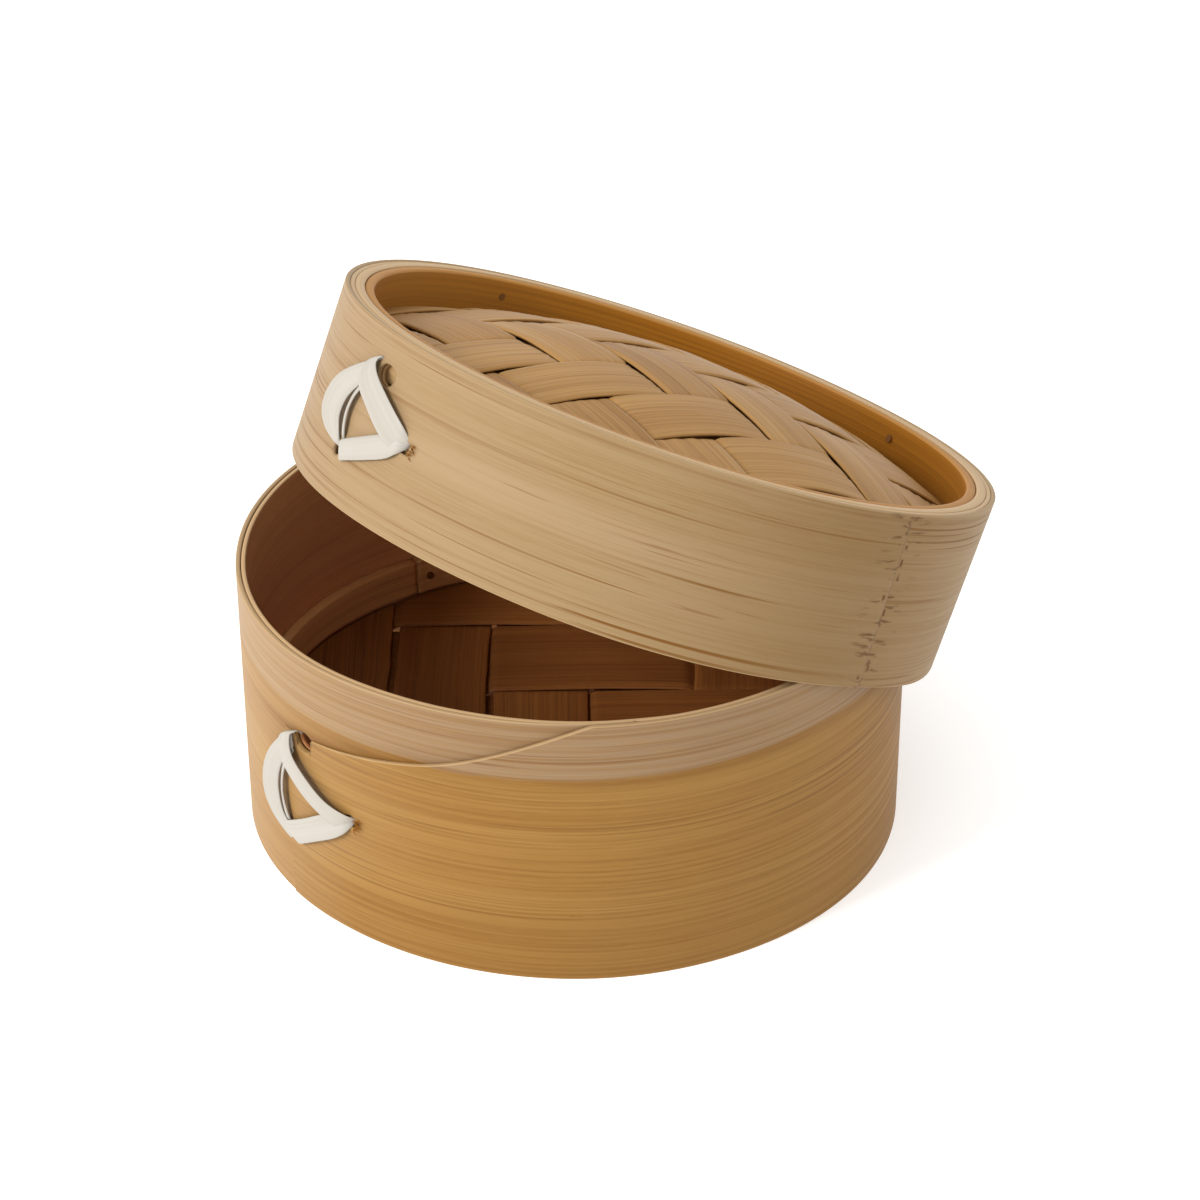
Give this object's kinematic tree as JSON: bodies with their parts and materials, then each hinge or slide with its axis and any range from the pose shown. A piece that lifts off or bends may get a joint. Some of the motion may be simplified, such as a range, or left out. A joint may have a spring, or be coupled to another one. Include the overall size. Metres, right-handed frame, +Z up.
{
  "type": "bamboo steamer basket",
  "caption": "Small round bamboo steamer: a laced basket of bent bamboo with a woven floor, and a domed woven lid that leans on its rim and lifts off.",
  "frame": {"origin": "centre of the basket's foot, on the surface that it stands on", "axes": "+Z up along the basket's axis; -Y towards the front, where the lid's raised side shows the inside; +X to the right"},
  "size_m": [0.1697, 0.1652, 0.1273],
  "materials": {
    "bamboo_sheet": "smooth unvarnished bamboo with fine lengthwise grain",
    "bamboo_hoop": "bare bamboo, a little darker",
    "bamboo_strip": "split bamboo strip with raised grain",
    "bamboo_ribbon": "pale peeled strip, satin"
  },
  "bodies": {
    "basket": {"basket_outer_sheet": "bamboo_sheet", "basket_inner_sheet": "bamboo_sheet", "basket_retaining_ring": "bamboo_hoop", "basket_ring_pegs": "bamboo_hoop", "basket_support_ring": "bamboo_hoop", "basket_floor_slat_1": "bamboo_hoop", "basket_floor_slat_2": "bamboo_hoop", "basket_tie": "bamboo_ribbon", "floor_warp_strip_1": "bamboo_strip", "floor_warp_strip_2": "bamboo_strip", "floor_warp_strip_3": "bamboo_strip", "floor_warp_strip_4": "bamboo_strip", "floor_warp_strip_5": "bamboo_strip", "floor_warp_strip_6": "bamboo_strip", "floor_weft_strip_1": "bamboo_strip", "floor_weft_strip_2": "bamboo_strip", "floor_weft_strip_3": "bamboo_strip", "floor_weft_strip_4": "bamboo_strip", "floor_weft_strip_5": "bamboo_strip"},
    "lid": {"lid_outer_sheet": "bamboo_sheet", "lid_inner_sheet": "bamboo_sheet", "lid_lower_hoop": "bamboo_hoop", "lid_upper_hoop_outer_wrap": "bamboo_hoop", "lid_upper_hoop_inner_wrap": "bamboo_hoop", "lid_hoop_pegs": "bamboo_hoop", "lid_tie": "bamboo_ribbon", "lid_warp_strip_1": "bamboo_strip", "lid_warp_strip_2": "bamboo_strip", "lid_warp_strip_3": "bamboo_strip", "lid_warp_strip_4": "bamboo_strip", "lid_warp_strip_5": "bamboo_strip", "lid_warp_strip_6": "bamboo_strip", "lid_warp_strip_7": "bamboo_strip", "lid_warp_strip_8": "bamboo_strip", "lid_weft_strip_1": "bamboo_strip", "lid_weft_strip_2": "bamboo_strip", "lid_weft_strip_3": "bamboo_strip", "lid_weft_strip_4": "bamboo_strip", "lid_weft_strip_5": "bamboo_strip", "lid_weft_strip_6": "bamboo_strip", "lid_weft_strip_7": "bamboo_strip", "lid_weft_strip_8": "bamboo_strip"}
  },
  "joints": [
    {"name": "lid_lift", "type": "slide", "parent": "basket", "child": "lid", "axis": [0, 0, 1], "range_m": [0, 0.08]}
  ]
}
